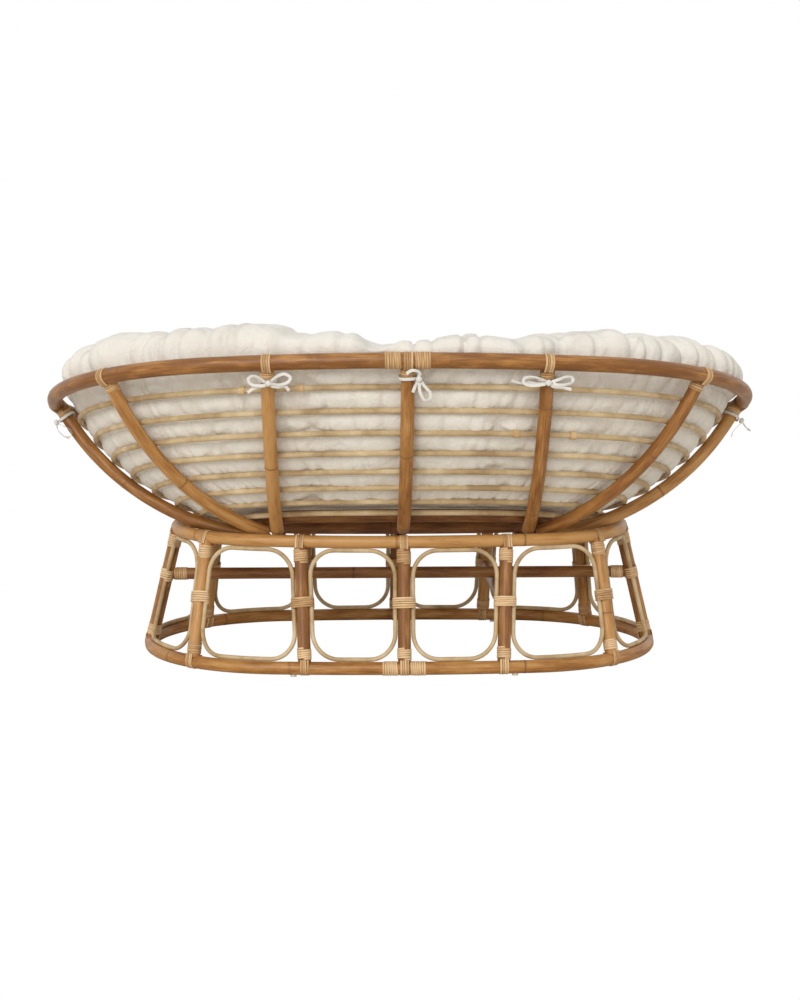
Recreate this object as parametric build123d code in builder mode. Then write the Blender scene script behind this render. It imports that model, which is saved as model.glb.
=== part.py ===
"""Double papasan chair: a rattan bowl with a tufted cushion, resting loose in an oval stand.

Millimetres and degrees. The seat's front faces -Y, its back +Y, +X is the sitter's left and +Z
is up. The origin lies on the floor under the middle of the rim. The stand is modelled about its
own middle and the bowl about the centre of its rim's plane, and each is then laid in its place.
"""
import os
from math import acos, atan2, cos, hypot, pi, radians, sin, sqrt, tan

from build123d import *

os.makedirs("parts", exist_ok=True)

# Poles, canes and peel
rim_radius = 17.2
pole_radius = 15.0
top_ring_radius = 14.5
stretcher_radius = 14.0
seat_cane_radius = 6.3
loop_cane_radius = 5.0
peel_radius = 1.2
peel_pitch = 5.2
strap_width = 4.8
strap_thickness = 1.3
strap_gap = 0.5
strap_slack = 1.3
strap_fit = 0.3
strap_count = 4
joint_gap = 0.1
wrap_gap = 0.15

# Stand
stand_foot_length = 602.0
stand_foot_depth = 354.0
stand_foot_end = 342.0
stand_foot_height = 19.0
stand_top_length = 534.4
stand_top_depth = 294.3
stand_top_end = 263.4
stand_top_height = 299.8
side_post_top = 236.0
side_post_foot = 226.0
corner_post_top = 453.5
corner_post_foot = 485.0
post_setback = 8.0
loop_side_gap = 0.3
loop_corner = 58.0
long_stretcher_height = 184.0
cross_stretcher_height = 154.5
middle_wrap_height = 163.0
stretcher_wrap_start = 20.0
glide_radius = 7.0
glide_height = 8.0
glide_offset = 26.0

# Bowl
rim_length = 812.0
rim_depth = 538.0
rim_end = 500.0
bowl_ring_length = 343.0
bowl_ring_depth = 126.0
bowl_ring_end = 115.0
bowl_ring_drop = 282.6
rib_inset = 13.0
rib_top_drop = 10.0
rib_overhang = 9.0
rib_end_round = 6.0
middle_rib_bend = 593.6
side_rib_bend = 622.0
corner_rib_bend = 629.0
end_rib_bend = 606.3
side_rib_top = 300.0
side_rib_foot = 289.0
corner_rib_top = 660.0
corner_rib_foot = 316.0
seat_ring_first_drop = 46.0
seat_ring_pitch = 57.0
seat_ring_count = 8
bowl_pivot_height = 858.6
bowl_pivot_rise = 267.3
bowl_tilt = 14.0

# Windings, in turns
joint_turns = 6
rib_turns = 3
middle_turns = 5
foot_turns = 5
splice_turns = 6
lap_turns = 2

# Places of windings
rib_sleeve_gap = 6.0
lap_reach = 65.0
splice_start = 16.8

# Cushion
cushion_gap = 0.4
cushion_bulge = 24.0
cushion_rise = 82.0
cushion_edge = 58.0
cushion_floor_drop = 262.0
cushion_hollow_depth = 212.0
cushion_end_share = 0.82
cushion_drop_shares = (1.0, 0.86, 0.67, 0.44, 0.19, 0.0)
cushion_roll_shares = ((0.2, 0.8), (0.45, 1.1), (0.7, 0.9), (0.9, 0.0), (1.0, -1.3))
cushion_hollow_shares = ((0.0, 1.2), (0.05, 1.6), (0.16, 2.0), (0.39, 2.3), (0.62, 3.0),
                         (0.86, 4.0), (0.96, 5.2), (1.0, 6.4))
tuft_shares = ((0.0, 0.0, 1.0), (0.3, 0.0, 1.0), (-0.3, 0.0, 1.0), (0.0, 0.36, 0.86),
               (0.0, -0.36, 0.86), (0.3, 0.34, 0.86), (-0.3, 0.34, 0.86), (0.3, -0.34, 0.86),
               (-0.3, -0.34, 0.86), (0.56, 0.0, 0.86), (-0.56, 0.0, 0.86))
tuft_radius = 46.0
tuft_depth = 14.0

# Ties
tie_radius = 2.5
knot_radius = 7.5
knot_drop = 24.0
tie_clearance = 0.3
tie_turn = 0.45

# Ties' strands, each from its knot: sideways, outward and up
tie_strands = {
    "back_left": (7.0, [
        [(6, 1, 5), (18, 1, 15), (34, 3, 22), (47, 5, 15), (42, 7, 5), (26, 6, -1), (6, 3, -1)],
        [(5, 0, -5), (20, 3, -8), (36, 4, -6), (44, 4, -15)],
        [(-5, 0, -5), (-17, 2, -7), (-32, 4, -10), (-44, 4, -19)],
        [(-7, 2, 3), (-18, 3, 13), (-32, 4, 18), (-42, 5, 11), (-35, 7, 0), (-19, 6, -3),
         (-6, 4, -3)]]),
    "back_middle": (55.0, [
        [(-1, 2, 5), (1, 6, 15), (-6, 9, 21), (-17, 10, 22), (-27, 9, 15)],
        [(5, 2, -6), (14, 3, -17), (24, 3, -30), (24, 4, -42), (13, 5, -46), (5, 6, -34),
         (1, 5, -20), (1, 3, -7)],
        [(-3, 2, -5), (-9, 4, -17), (-13, 5, -28)]]),
    "back_right": (0.0, [
        [(-7, 0, 4), (-20, 2, 10), (-36, 3, 14), (-52, 4, 12), (-54, 5, 2), (-40, 5, -4),
         (-24, 4, -4), (-7, 2, -2)],
        [(7, 0, 3), (20, 2, 8), (34, 3, 14), (48, 4, 14), (50, 5, 4), (36, 5, -2), (20, 4, -3),
         (8, 2, -1)],
        [(5, 1, -5), (16, 3, -9), (32, 3, -10), (49, 4, -13)],
        [(-6, -3, 0), (-22, -4, -4), (-40, -4, -1), (-60, -3, -2), (-80, -2, 4)]]),
    "end_left": (10.0, [
        [(2, 3, -7), (7, 5, -18), (11, 2, -32), (13, -3, -44), (15, -12, -49), (16, -20, -42),
         (15, -18, -29), (13, -10, -18), (7, -3, -5)],
        [(-2, 4, -6), (-3, 6, -16), (-2, 5, -28), (0, 2, -40)]]),
    "end_right": (-10.0, [
        [(-2, 6, -4), (-4, 17, -10), (-3, 30, -12)],
        [(-3, 1, -7), (-7, -3, -20), (-8, -6, -34), (-7, -4, -48)]]),
}


class Oval:
    """A flat oval of four tangent arcs: two round ends and two gently bowed sides."""

    def __init__(self, half_length, half_depth, end_radius):
        self.half_length = half_length
        self.half_depth = half_depth
        self.end_radius = end_radius
        self.reach = half_length - end_radius
        slack = half_depth - end_radius
        self.side_radius = (self.reach**2 + half_depth**2 - end_radius**2) / (2 * slack)
        self.rise = self.side_radius - half_depth
        self.turn = atan2(self.rise, self.reach)
        self.end_run = end_radius * self.turn
        self.quarter = self.end_run + self.side_radius * (pi / 2 - self.turn)

    def normal_angle(self, run):
        """Angle of the outward normal, at a length along the first quarter from the +X end."""
        if run < self.end_run:
            return run / self.end_radius
        return self.turn + (run - self.end_run) / self.side_radius

    def run_at(self, x):
        """Length along the first quarter at which the oval has this x."""
        corner = self.reach + self.end_radius * cos(self.turn)
        if x > corner:
            return self.end_radius * acos(min(1, (x - self.reach) / self.end_radius))
        return self.end_run + self.side_radius * (acos(x / self.side_radius) - self.turn)

    def point(self, run):
        """Point and outward normal at any length round the oval from the +X end."""
        quarter = int(run // self.quarter) % 4
        along = run % self.quarter
        if quarter % 2:
            along = self.quarter - along
        angle = self.normal_angle(along)
        if along < self.end_run:
            x = self.reach + self.end_radius * cos(angle)
            y = self.end_radius * sin(angle)
        else:
            x = self.side_radius * cos(angle)
            y = self.side_radius * sin(angle) - self.rise
        flip_x = -1 if quarter in (1, 2) else 1
        flip_y = -1 if quarter in (2, 3) else 1
        normal = Vector(flip_x * cos(angle), flip_y * sin(angle))
        return Vector(flip_x * x, flip_y * y), normal

    def trace(self):
        """Draws the four arcs in the line builder that is open."""
        corner_x = self.reach + self.end_radius * cos(self.turn)
        corner_y = self.end_radius * sin(self.turn)
        ThreePointArc((corner_x, -corner_y), (self.half_length, 0), (corner_x, corner_y))
        ThreePointArc((corner_x, corner_y), (0, self.half_depth), (-corner_x, corner_y))
        ThreePointArc((-corner_x, corner_y), (-self.half_length, 0), (-corner_x, -corner_y))
        ThreePointArc((-corner_x, -corner_y), (0, -self.half_depth), (corner_x, -corner_y))


def level(flat, height):
    return Vector(flat.X, flat.Y, height)


def pole_ring(oval, height, radius):
    """A pole bent to an oval, its ends joined by a scarf."""
    with BuildPart() as ring:
        with BuildLine(Plane.XY.offset(height)) as path:
            oval.trace()
        with BuildSketch(Plane(path.line @ 0, z_dir=path.line % 0)):
            Circle(radius)
        sweep()
    return ring.part


def straight_pole(start, end, radius):
    with BuildPart() as pole:
        with BuildLine() as path:
            Line(start, end)
        with BuildSketch(Plane(start, z_dir=path.line % 0)):
            Circle(radius)
        sweep()
    return pole.part


def biarc(start, start_way, end, end_way):
    """Two tangent arcs from start to end, leaving and arriving along the given ways."""
    span = end - start
    square = 2 * (start_way.dot(end_way) - 1)
    slope = -2 * span.dot(start_way + end_way)
    handle = (-slope - sqrt(slope**2 - 4 * square * span.dot(span))) / (2 * square)
    joint = (start + end + (start_way - end_way) * handle) / 2
    first = TangentArc(start, joint, tangent=start_way)
    TangentArc(joint, end, tangent=first % 1)


def winding_length(turns):
    return turns * peel_pitch + 2 * peel_radius


def winding(radius, turns):
    """One strand of peel wound up the Z axis round a pole, from the origin."""
    reach = radius + peel_radius + wrap_gap
    climb = peel_pitch / 2
    way_up = climb / (pi * reach)
    stations = []
    for step in range(2 * turns + 1):
        side = 1 if step % 2 == 0 else -1
        place = Vector(side * reach, 0, peel_radius + climb * step)
        stations.append((place, Vector(0, side, way_up).normalized()))
    with BuildPart() as strand:
        with BuildLine() as path:
            for (start, start_way), (end, end_way) in zip(stations, stations[1:]):
                biarc(start, start_way, end, end_way)
        with BuildSketch(Plane(stations[0][0], x_dir=(1, 0, 0), z_dir=stations[0][1])):
            Circle(peel_radius)
        sweep()
    return strand.part


def sleeve(half_width, half_depth, turns):
    """The outer shape of a close binding up the Z axis round a round or oval bundle."""
    with BuildPart() as wrap:
        with BuildSketch():
            for grow, mode in ((wrap_gap + 2 * peel_radius, Mode.ADD), (wrap_gap, Mode.SUBTRACT)):
                Ellipse(half_width + grow, half_depth + grow, mode=mode)
        extrude(amount=winding_length(turns))
    return wrap.part


def strap(ring_radius, outer_side, inner_side, drop):
    """One strip of peel over a ring, its two legs closing on the pole below."""
    bend = ring_radius + strap_fit + strap_thickness / 2
    legs = []
    for side in (outer_side, -inner_side):
        end = Vector(0, side, -drop)
        swing = acos(bend / hypot(side, drop))
        angle = atan2(-drop, side)
        legs.append((end, angle + swing if side > 0 else angle - swing))
    (outer_end, outer_angle), (inner_end, inner_angle) = legs
    inner_angle += 2 * pi
    points = [Vector(0, bend * cos(a), bend * sin(a)) for a in (
        outer_angle, (outer_angle + inner_angle) / 2, inner_angle)]
    with BuildPart() as strip:
        with BuildLine() as path:
            Line(outer_end, points[0])
            ThreePointArc(*points)
            Line(points[2], inner_end)
        with BuildSketch(Plane(outer_end, x_dir=(1, 0, 0), z_dir=points[0] - outer_end)):
            Rectangle(strap_width, strap_thickness)
        sweep()
    return strip.part


def strap_places():
    step = strap_width + strap_gap
    return [((k - (strap_count - 1) / 2) * step, 0, 0) for k in range(strap_count)]


# The tilted bowl's rim stands back from the middle of the stand, and higher than its ring
tilt = radians(bowl_tilt)
rim_setback = bowl_pivot_rise * sin(tilt)
rim_height = bowl_pivot_height - bowl_pivot_rise * cos(tilt)
stand_seat = Location((0, -rim_setback, 0))
bowl_seat = Plane((0, 0, rim_height), x_dir=(1, 0, 0), z_dir=(0, -sin(tilt), cos(tilt))).location


def keep(piece, name, seat=stand_seat):
    """Lays a finished piece in its place, labels it and writes it to its file."""
    placed = piece.moved(seat)
    placed.label = name
    export_step(placed, f"parts/{name}.step")


def keep_in_bowl(piece, name):
    keep(piece, name, bowl_seat)


# Stand rings
stand_foot = Oval(stand_foot_length, stand_foot_depth, stand_foot_end)
stand_top = Oval(stand_top_length, stand_top_depth, stand_top_end)
stand_foot_ring = pole_ring(stand_foot, stand_foot_height, pole_radius)
stand_top_ring = pole_ring(stand_top, stand_top_height, top_ring_radius)


# Post stations, anticlockwise from the sitter's left end: name, run on top ring, run on foot ring
def quarter_runs(oval, corner_x, side_x):
    corner = oval.run_at(corner_x)
    side = oval.run_at(side_x)
    half = 2 * oval.quarter
    first = [0, corner, side, oval.quarter, half - side, half - corner]
    return first + [half + run for run in first]


stations = ["end_left", "back_left_corner", "back_left", "back_middle", "back_right",
            "back_right_corner", "end_right", "front_right_corner", "front_right",
            "front_middle", "front_left", "front_left_corner"]
top_runs = quarter_runs(stand_top, corner_post_top, side_post_top)
foot_runs = quarter_runs(stand_foot, corner_post_foot, side_post_foot)


def post_frame(index):
    """Top and foot of a post's axis, and its frame with x along the wall and z up the post."""
    top_flat, normal = stand_top.point(top_runs[index])
    foot_flat, _ = stand_foot.point(foot_runs[index])
    top = level(top_flat, stand_top_height)
    foot = level(foot_flat, stand_foot_height)
    up = (top - foot).normalized()
    along = Vector(-normal.Y, normal.X, 0)
    along = (along - up * along.dot(up)).normalized()
    return top, foot, along, up


def on_post(index, height):
    """Point on a post's axis at a height above the floor."""
    top, foot, _, _ = post_frame(index)
    share = (height - stand_foot_height) / (stand_top_height - stand_foot_height)
    return foot + (top - foot) * share


posts = {}
for index, station in enumerate(stations):
    top, foot, _, up = post_frame(index)
    blank = straight_pole(foot + up * post_setback, top - up * post_setback, pole_radius)
    with BuildPart() as post:
        add(blank)
        for oval, height, radius in ((stand_foot, stand_foot_height, pole_radius),
                                     (stand_top, stand_top_height, top_ring_radius)):
            add(pole_ring(oval, height, radius + joint_gap), mode=Mode.SUBTRACT)
    posts[station] = post.part
    keep(post.part, f"post_{station}")
keep(stand_foot_ring, "stand_bottom_ring")
keep(stand_top_ring, "stand_top_ring")


# Thin loops, one in each panel of the wall
def wall_edge(oval, height, start, end, shift):
    """Arc beside a ring over one panel, set off the ring along the wall."""
    middle, _ = oval.point((start + end) / 2)
    first, _ = oval.point(start)
    last, _ = oval.point(end)
    return [level(flat, height) + shift for flat in (first, middle, last)]


def panel_loop(index):
    """A cane bent to a rounded frame that touches both rings and lies beside both posts."""
    after = (index + 1) % len(stations)
    _, _, along, up = post_frame(index)
    _, _, along_after, up_after = post_frame(after)
    side = pole_radius + loop_cane_radius + loop_side_gap
    top_start = top_runs[index] + side + loop_corner
    foot_start = foot_runs[index] + side + loop_corner
    top_end = top_runs[after] if after else 4 * stand_top.quarter
    foot_end = foot_runs[after] if after else 4 * stand_foot.quarter
    wall = (up + up_after).normalized()
    top_shift = wall * -(top_ring_radius + loop_cane_radius + joint_gap)
    foot_shift = wall * (pole_radius + loop_cane_radius + joint_gap)
    above = wall_edge(stand_top, stand_top_height, top_start,
                      top_end - side - loop_corner, top_shift)
    below = wall_edge(stand_foot, stand_foot_height, foot_start,
                      foot_end - side - loop_corner, foot_shift)
    lean = loop_corner + pole_radius + loop_cane_radius
    low = stand_foot_height + lean
    high = stand_top_height - lean
    near = [on_post(index, h) + along * side for h in (low, high)]
    far = [on_post(after, h) - along_after * side for h in (low, high)]
    over = Edge.make_three_point_arc(*above)
    under = Edge.make_three_point_arc(*reversed(below))
    rise = (near[1] - near[0]).normalized()
    fall = (far[0] - far[1]).normalized()
    with BuildPart() as loop:
        with BuildLine() as upper:
            Line(near[0], near[1])
            biarc(near[1], rise, above[0], over % 0)
            ThreePointArc(*above)
            biarc(above[2], over % 1, far[1], fall)
        with BuildSketch(Plane(near[0], z_dir=rise)):
            Circle(loop_cane_radius)
        sweep(path=upper.line)
        with BuildLine() as lower:
            Line(far[1], far[0])
            biarc(far[0], fall, below[2], under % 0)
            ThreePointArc(*reversed(below))
            biarc(below[0], under % 1, near[0], rise)
        with BuildSketch(Plane(far[1], z_dir=fall)):
            Circle(loop_cane_radius)
        sweep(path=lower.line)
    return loop.part


loop_sides = {"end_left": (11, 0), "back": (1, 2, 3, 4), "end_right": (5, 6),
              "front": (7, 8, 9, 10)}
for side_name, panels in loop_sides.items():
    with BuildPart() as loops:
        for index in panels:
            add(panel_loop(index))
    keep(loops.part, f"panel_loops_{side_name}")


# Stretchers, their ends hollowed to the posts over the peel that runs between
bundle_width = pole_radius + 2 * loop_cane_radius + loop_side_gap


def wrapped_post(index):
    """A post as thick as its middle binding, with the clearance that a stretcher's end keeps."""
    top, foot, along, up = post_frame(index)
    grow = 2 * peel_radius + wrap_gap + joint_gap
    with BuildPart() as cutter:
        with BuildSketch(Plane(foot, x_dir=along, z_dir=up)):
            Ellipse(bundle_width + grow, pole_radius + grow)
        extrude(amount=(top - foot).length)
    return cutter.part


def stretcher(first, last, height):
    with BuildPart() as bar:
        add(straight_pole(on_post(first, height), on_post(last, height), stretcher_radius))
        for index in (first, last):
            add(wrapped_post(index), mode=Mode.SUBTRACT)
    return Part([bar.part.solids().sort_by(SortBy.VOLUME)[-1]])


keep(stretcher(6, 0, long_stretcher_height), "long_stretcher")
keep(stretcher(2, 10, cross_stretcher_height), "cross_stretcher_left")
keep(stretcher(4, 8, cross_stretcher_height), "cross_stretcher_right")


# Peel bindings of the stand
def straps_over(ring_point, ring_way, ring_radius, pole_point, pole_up):
    """Straps side by side over a ring, their legs down the two sides of the pole under it."""
    up = (pole_up - ring_way * pole_up.dot(ring_way)).normalized()
    out = up.cross(ring_way)
    shift = (pole_point - ring_point).dot(out)
    side = pole_radius + strap_thickness / 2 + strap_slack
    with BuildPart() as straps:
        with Locations(*strap_places()):
            add(strap(ring_radius, side + shift, side - shift, ring_radius + 2 * strap_thickness))
    return straps.part.moved(Plane(ring_point, x_dir=ring_way, z_dir=up).location)


def pole_sleeve(start, up, turns):
    return sleeve(pole_radius, pole_radius, turns).moved(Plane(start, z_dir=up).location)


def strapped_post(oval, run, height, ring_radius, up, turns):
    """The straps and the sleeve that hold one end of a post to its ring."""
    flat, normal = oval.point(run)
    point = level(flat, height)
    way = Vector(-normal.Y, normal.X)
    fall = ring_radius + 2 * strap_thickness + joint_gap + winding_length(turns)
    with BuildPart() as ends:
        add(straps_over(point, way, ring_radius, point, up))
        add(pole_sleeve(point - up * fall, up, turns))
    return ends.part


middle_wrap = sleeve(bundle_width, pole_radius, middle_turns)
with BuildPart() as top_bindings:
    for index, run in enumerate(top_runs):
        up = post_frame(index)[3]
        add(strapped_post(stand_top, run, stand_top_height, top_ring_radius, up, joint_turns))
keep(top_bindings.part, "post_top_bindings")
with BuildPart() as foot_bindings:
    for index, run in enumerate(foot_runs):
        up = post_frame(index)[3]
        add(strapped_post(stand_foot, run, stand_foot_height, pole_radius, -up, foot_turns))
keep(foot_bindings.part, "post_foot_bindings")
with BuildPart() as middle_bindings:
    for index in range(len(stations)):
        _, _, along, up = post_frame(index)
        wrap_height = long_stretcher_height if index in (0, 6) else middle_wrap_height
        start = on_post(index, wrap_height) - up * winding_length(middle_turns) / 2
        add(middle_wrap.moved(Plane(start, x_dir=along, z_dir=up).location))
keep(middle_bindings.part, "post_middle_bindings")


def splice_windings(oval, height, radius):
    """Two windings on a ring, one on each side of its back's middle."""
    strand = winding(radius, splice_turns)
    length = winding_length(splice_turns)
    with BuildPart() as windings:
        for side in (-1, 1):
            flat, normal = oval.point(oval.quarter + side * (splice_start + length / 2))
            way = Vector(-normal.Y, normal.X)
            origin = level(flat - way * length / 2, height)
            with Locations(Plane(origin, x_dir=(0, 0, 1), z_dir=way).location):
                add(strand)
    return windings.part


keep(splice_windings(stand_foot, stand_foot_height, pole_radius), "stand_splice_windings")

stretcher_winding = winding(stretcher_radius, splice_turns)
with BuildPart() as stretcher_wraps:
    for index, side in ((0, -1), (6, 1)):
        spot = on_post(index, long_stretcher_height) + Vector(side * stretcher_wrap_start)
        with Locations(Plane(spot, x_dir=(0, 1, 0), z_dir=(side, 0, 0)).location):
            add(stretcher_winding)
keep(stretcher_wraps.part, "stretcher_end_windings")

with BuildPart() as glides:
    for index, side in ((2, -1), (4, 1), (8, -1), (10, 1)):
        flat, _ = stand_foot.point(foot_runs[index] + side * glide_offset)
        with Locations((flat.X, flat.Y, glide_height / 2)):
            Cylinder(glide_radius, glide_height)
    add(pole_ring(stand_foot, stand_foot_height, pole_radius + joint_gap), mode=Mode.SUBTRACT)
keep(glides.part, "glide_feet")

# Bowl rings
rim_oval = Oval(rim_length, rim_depth, rim_end)
bowl_oval = Oval(bowl_ring_length, bowl_ring_depth, bowl_ring_end)
rim = pole_ring(rim_oval, 0, rim_radius)
rim_cutter = pole_ring(rim_oval, 0, rim_radius + joint_gap)
bowl_ring = pole_ring(bowl_oval, -bowl_ring_drop, pole_radius)


class Rib:
    """A pole bent to one arc in an upright plane, from the rim to the bowl's bottom ring."""

    def __init__(self, rim_run, ring_run, bend):
        self.bend = bend
        self.rim_point, self.rim_normal = rim_oval.point(rim_run)
        ring_point, ring_normal = bowl_oval.point(ring_run)
        self.out = (self.rim_point - ring_point).normalized()
        self.base = ring_point
        top = Vector((self.rim_point - ring_point).length - rib_inset, -rib_top_drop)
        ring_spot = Vector(0, -bowl_ring_drop)
        skew = ring_normal.get_angle(self.out)
        near = bend - 2 * pole_radius - joint_gap
        chord = top - ring_spot
        along = (chord.length**2 + near**2 - bend**2) / (2 * chord.length)
        across = sqrt(near**2 - along**2)
        unit = chord.normalized()
        self.centre = ring_spot + unit * along + Vector(-unit.Y, unit.X) * across
        slope = -self.centre.X / near
        spread = (2 * pole_radius + joint_gap) * (hypot(1, tan(radians(skew)) * slope) - 1)
        self.centre -= Vector(0, spread)
        self.top_angle = atan2(top.Y - self.centre.Y, top.X - self.centre.X)
        ring_angle = atan2(ring_spot.Y - self.centre.Y, ring_spot.X - self.centre.X)
        self.foot_angle = ring_angle - rib_overhang / bend

    def place(self, run, height):
        flat = self.base + self.out * run
        return Vector(flat.X, flat.Y, height)

    def at_angle(self, angle, offset=0):
        """Point at an angle on the arc, set in from the axis by an offset."""
        reach = self.bend - offset
        return self.place(self.centre.X + reach * cos(angle), self.centre.Y + reach * sin(angle))

    def angle_at(self, drop, offset=0):
        """Angle at which the arc, set in by an offset, lies this far under the rim's plane."""
        reach = self.bend - offset
        rise = -drop - self.centre.Y
        return atan2(rise, sqrt(reach**2 - rise**2))

    def frame(self, angle):
        """Axis point, sideways way and upward way at an angle."""
        side = Vector(-self.out.Y, self.out.X, 0)
        up = self.place(-sin(angle), cos(angle)) - self.place(0, 0)
        return self.at_angle(angle), side, up

    def solid(self):
        middle = (self.top_angle + self.foot_angle) / 2
        with BuildPart() as rib:
            with BuildLine() as path:
                ThreePointArc(*[self.at_angle(a) for a in (
                    self.top_angle, middle, self.foot_angle)])
            side = Vector(-self.out.Y, self.out.X, 0)
            with BuildSketch(Plane(path.line @ 0, x_dir=side, z_dir=path.line % 0)):
                Circle(pole_radius)
            sweep()
            caps = rib.faces().filter_by(GeomType.PLANE)
            foot = caps.sort_by_distance(self.at_angle(self.foot_angle))[0]
            fillet(foot.edges(), rib_end_round)
            add(rim_cutter, mode=Mode.SUBTRACT)
        return Part([rib.part.solids().sort_by(SortBy.VOLUME)[-1]])


rim_runs = quarter_runs(rim_oval, corner_rib_top, side_rib_top)
ring_runs = quarter_runs(bowl_oval, corner_rib_foot, side_rib_foot)
bends = [end_rib_bend, corner_rib_bend, side_rib_bend, middle_rib_bend, side_rib_bend,
         corner_rib_bend] * 2
ribs = [Rib(*values) for values in zip(rim_runs, ring_runs, bends)]

keep_in_bowl(rim, "bowl_rim")
keep_in_bowl(bowl_ring, "bowl_bottom_ring")
for station, rib in zip(stations, ribs):
    keep_in_bowl(rib.solid(), f"rib_{station}")


# Seat rings, thin canes that lie inside the ribs
def ring_axis(points):
    return Edge.make_spline(points, periodic=True)


def seat_points(drop, skews):
    """Points of a ring's axis where it touches each rib, allowing for how it crosses them."""
    reach = pole_radius + seat_cane_radius + joint_gap
    points = []
    for rib, skew in zip(ribs, skews):
        slope = cos(rib.angle_at(drop, reach))
        offset = reach * hypot(1, tan(skew) * slope)
        points.append(rib.at_angle(rib.angle_at(drop, offset), offset))
    return points


def seat_ring_axis(drop):
    first = ring_axis(seat_points(drop, [0] * len(ribs)))
    skews = []
    for rib, point in zip(ribs, seat_points(drop, [0] * len(ribs))):
        way = first.tangent_at(point)
        skews.append(radians(Vector(-way.Y, way.X, 0).get_angle(rib.out)))
    return seat_points(drop, [min(s, pi - s) for s in skews])


middle_reach = middle_rib_bend - pole_radius - seat_cane_radius
first_angle = ribs[3].angle_at(seat_ring_first_drop, pole_radius + seat_cane_radius)
seat_drops = []
for ring_index in range(seat_ring_count):
    angle = first_angle - ring_index * seat_ring_pitch / middle_reach
    seat_drops.append(-(ribs[3].centre.Y + middle_reach * sin(angle)))
for ring_index, drop in enumerate(seat_drops):
    with BuildPart() as seat_ring:
        with BuildLine() as path:
            Spline(*seat_ring_axis(drop), periodic=True)
        with BuildSketch(Plane(path.line @ 0, z_dir=path.line % 0)):
            Circle(seat_cane_radius)
        sweep()
    keep_in_bowl(seat_ring.part, f"seat_ring_{ring_index + 1}")


# Peel on the bowl: straps over the rim with a sleeve under them, splices and lapped joints
rib_sleeve_fall = rib_sleeve_gap + winding_length(rib_turns) / 2
with BuildPart() as rim_bindings:
    for rib in ribs:
        point, _, up = rib.frame(rib.top_angle)
        rim_way = Vector(-rib.rim_normal.Y, rib.rim_normal.X)
        add(straps_over(level(rib.rim_point, 0), rim_way, rim_radius, point, up))
        centre, _, up = rib.frame(rib.top_angle - rib_sleeve_fall / rib.bend)
        add(pole_sleeve(centre - up * winding_length(rib_turns) / 2, up, rib_turns))
keep_in_bowl(rim_bindings.part, "rim_bindings")
keep_in_bowl(splice_windings(rim_oval, 0, rim_radius), "rim_splice_windings")

with BuildPart() as lap_wraps:
    for ring_index, rib_index in ((0, 2), (2, 4)):
        points = seat_ring_axis(seat_drops[ring_index])
        axis = ring_axis(points)
        rib_share = axis.param_at_point(points[rib_index])
        for shift in (-lap_reach, lap_reach):
            share = rib_share + shift / axis.length
            spot = Plane(axis @ share, z_dir=axis % share)
            with Locations(spot.location):
                add(sleeve(seat_cane_radius, seat_cane_radius, lap_turns))
keep_in_bowl(lap_wraps.part, "seat_ring_lap_wraps")


# Cushion: a deep pad with a full rolled edge, a hollow seat and sewn tufts
def lined_oval(drop):
    """Half length and half depth of the space inside the seat rings, this far under the rim."""
    inset = pole_radius + 2 * seat_cane_radius + joint_gap + cushion_gap
    end = ribs[0].at_angle(ribs[0].angle_at(drop, inset), inset)
    middle = ribs[3].at_angle(ribs[3].angle_at(drop, inset), inset)
    return end.X, middle.Y


def pad_section(half_length, half_depth, height):
    with BuildSketch(Plane.XY.offset(height)) as section:
        with BuildLine():
            Oval(half_length, half_depth, half_depth * cushion_end_share).trace()
        make_face()
    return section.sketch


pad_sections = []
for share in cushion_drop_shares:
    drop = cushion_floor_drop * share
    pad_sections.append(pad_section(*lined_oval(drop), -drop))
open_length, open_depth = lined_oval(0)
for rise_share, bulge_share in cushion_roll_shares:
    grow = cushion_bulge * bulge_share
    pad_sections.append(
        pad_section(open_length + grow, open_depth + grow, cushion_rise * rise_share))
for depth_share, inset_share in cushion_hollow_shares:
    inset = cushion_edge * inset_share
    height = cushion_rise - cushion_hollow_depth * depth_share
    pad_sections.append(pad_section(open_length - inset, open_depth - inset, height))
with BuildPart() as cushion:
    loft(pad_sections, ruled=True)
    for x_share, y_share, drop_share in tuft_shares:
        spot = Vector(open_length * x_share, open_depth * y_share,
                      cushion_rise - cushion_hollow_depth * drop_share)
        with Locations(spot + Vector(0, 0, tuft_radius - tuft_depth)):
            Sphere(tuft_radius, mode=Mode.SUBTRACT)
keep_in_bowl(cushion.part, "cushion")


# Ties: a band round a rib over its sleeve, a knot, and the strands that leave the knot
def tie_tube(points):
    """A limp tape along straight runs joined by the widest arcs that they allow."""
    radii = []
    for before, here, after in zip(points, points[1:], points[2:]):
        turn = radians((here - before).get_angle(after - here))
        run = min((here - before).length, (after - here).length)
        radii.append(tie_turn * run / tan(turn / 2))
    with BuildPart() as tube:
        with BuildLine() as path:
            FilletPolyline(*points, radius=radii)
        with BuildSketch(Plane(path.line @ 0, z_dir=path.line % 0)):
            Circle(tie_radius)
        sweep()
    return tube.part, radii


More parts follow.
